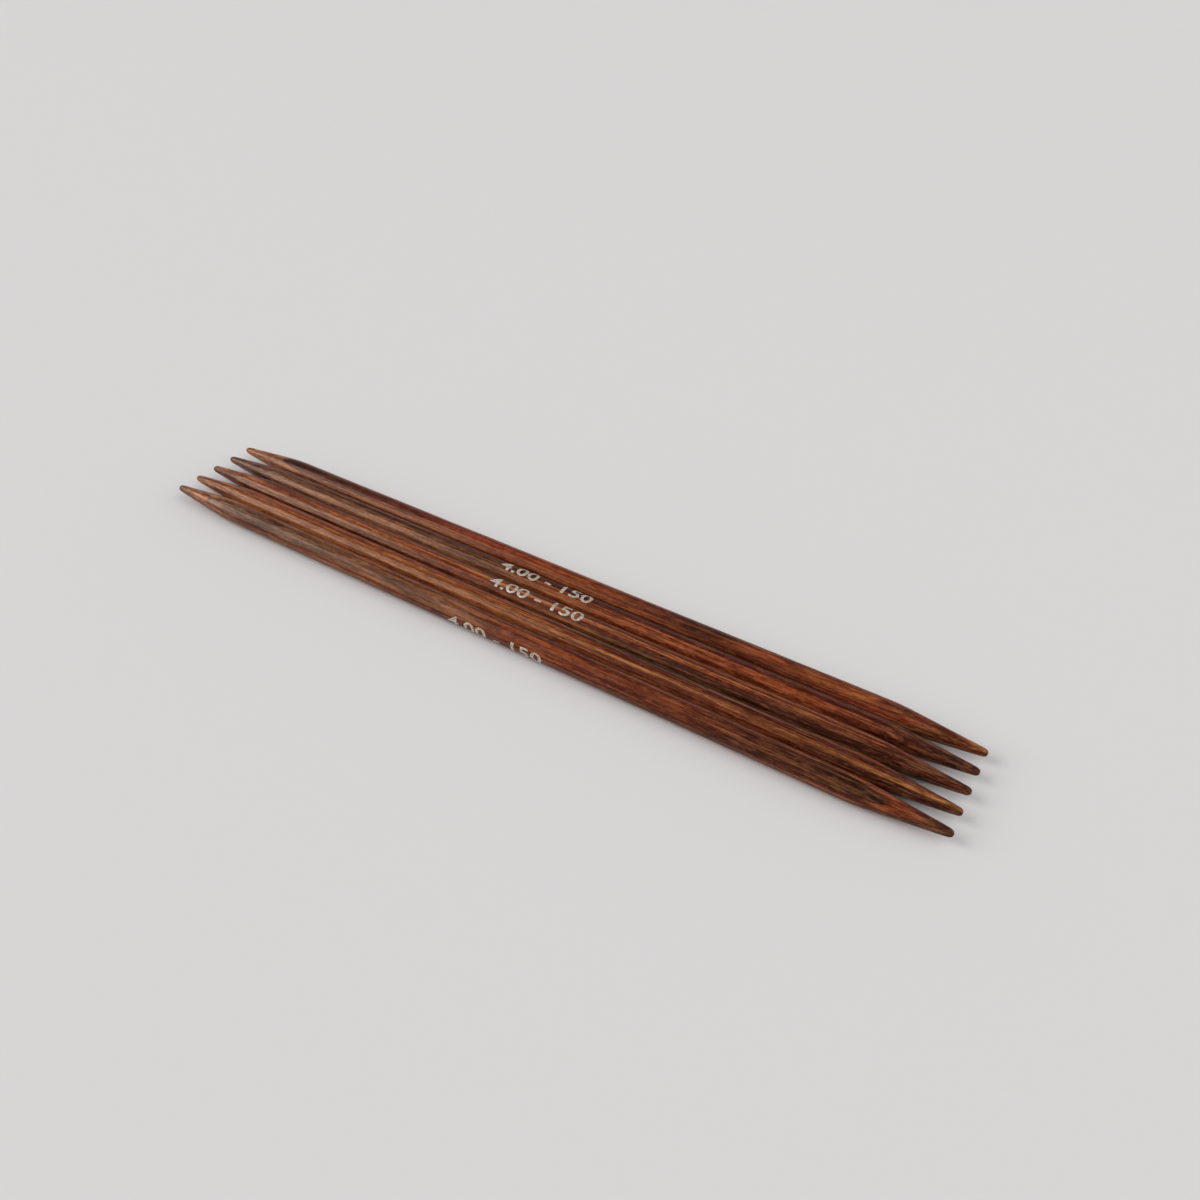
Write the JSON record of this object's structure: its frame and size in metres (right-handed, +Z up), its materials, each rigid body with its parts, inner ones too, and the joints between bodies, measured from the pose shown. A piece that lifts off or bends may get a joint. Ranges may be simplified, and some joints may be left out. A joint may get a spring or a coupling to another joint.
{
  "type": "double-pointed knitting needle set",
  "caption": "Set of short round knitting needles pointed at both ends, turned from laminated dyed wood, lying side by side in a row.",
  "frame": {"origin": "middle of the row on the table, under the middle of the third needle", "axes": "+X along the needles, +Y from the front needle to the back one, +Z up from the table"},
  "size_m": [0.15, 0.0208, 0.004],
  "materials": {
    "veneer_ash": "dyed ash birch veneer under clear satin lacquer",
    "veneer_chestnut": "dyed chestnut birch veneer under clear satin lacquer",
    "veneer_maroon": "dyed maroon birch veneer under clear satin lacquer",
    "veneer_ochre": "dyed ochre birch veneer under clear satin lacquer",
    "veneer_orange": "dyed orange birch veneer under clear satin lacquer",
    "veneer_tan": "dyed tan birch veneer under clear satin lacquer",
    "veneer_umber": "dyed umber birch veneer under clear satin lacquer"
  },
  "bodies": {
    "needle_1": {"needle_1_ply_1": "veneer_maroon", "needle_1_ply_2": "veneer_tan", "needle_1_ply_3": "veneer_chestnut", "needle_1_ply_4": "veneer_umber", "needle_1_ply_5": "veneer_orange", "needle_1_ply_6": "veneer_ash"},
    "needle_2": {"needle_2_ply_1": "veneer_umber", "needle_2_ply_2": "veneer_maroon", "needle_2_ply_3": "veneer_chestnut", "needle_2_ply_4": "veneer_tan", "needle_2_ply_5": "veneer_maroon", "needle_2_ply_6": "veneer_ash"},
    "needle_3": {"needle_3_ply_1": "veneer_umber", "needle_3_ply_2": "veneer_maroon", "needle_3_ply_3": "veneer_umber", "needle_3_ply_4": "veneer_chestnut", "needle_3_ply_5": "veneer_orange", "needle_3_ply_6": "veneer_tan"},
    "needle_4": {"needle_4_ply_1": "veneer_maroon", "needle_4_ply_2": "veneer_tan", "needle_4_ply_3": "veneer_chestnut", "needle_4_ply_4": "veneer_ash", "needle_4_ply_5": "veneer_chestnut", "needle_4_ply_6": "veneer_umber", "needle_4_ply_7": "veneer_orange"},
    "needle_5": {"needle_5_ply_1": "veneer_umber", "needle_5_ply_2": "veneer_ochre", "needle_5_ply_3": "veneer_maroon", "needle_5_ply_4": "veneer_ash", "needle_5_ply_5": "veneer_umber", "needle_5_ply_6": "veneer_tan", "needle_5_ply_7": "veneer_maroon"}
  },
  "joints": [
    {"name": "needle_1_draw", "type": "slide", "parent": "needle_3", "child": "needle_1", "axis": [1, 0, 0], "range_m": [-0.15, 0.15]},
    {"name": "needle_2_draw", "type": "slide", "parent": "needle_3", "child": "needle_2", "axis": [1, 0, 0], "range_m": [-0.15, 0.15]},
    {"name": "needle_4_draw", "type": "slide", "parent": "needle_3", "child": "needle_4", "axis": [1, 0, 0], "range_m": [-0.15, 0.15]},
    {"name": "needle_5_draw", "type": "slide", "parent": "needle_3", "child": "needle_5", "axis": [1, 0, 0], "range_m": [-0.15, 0.15]}
  ]
}
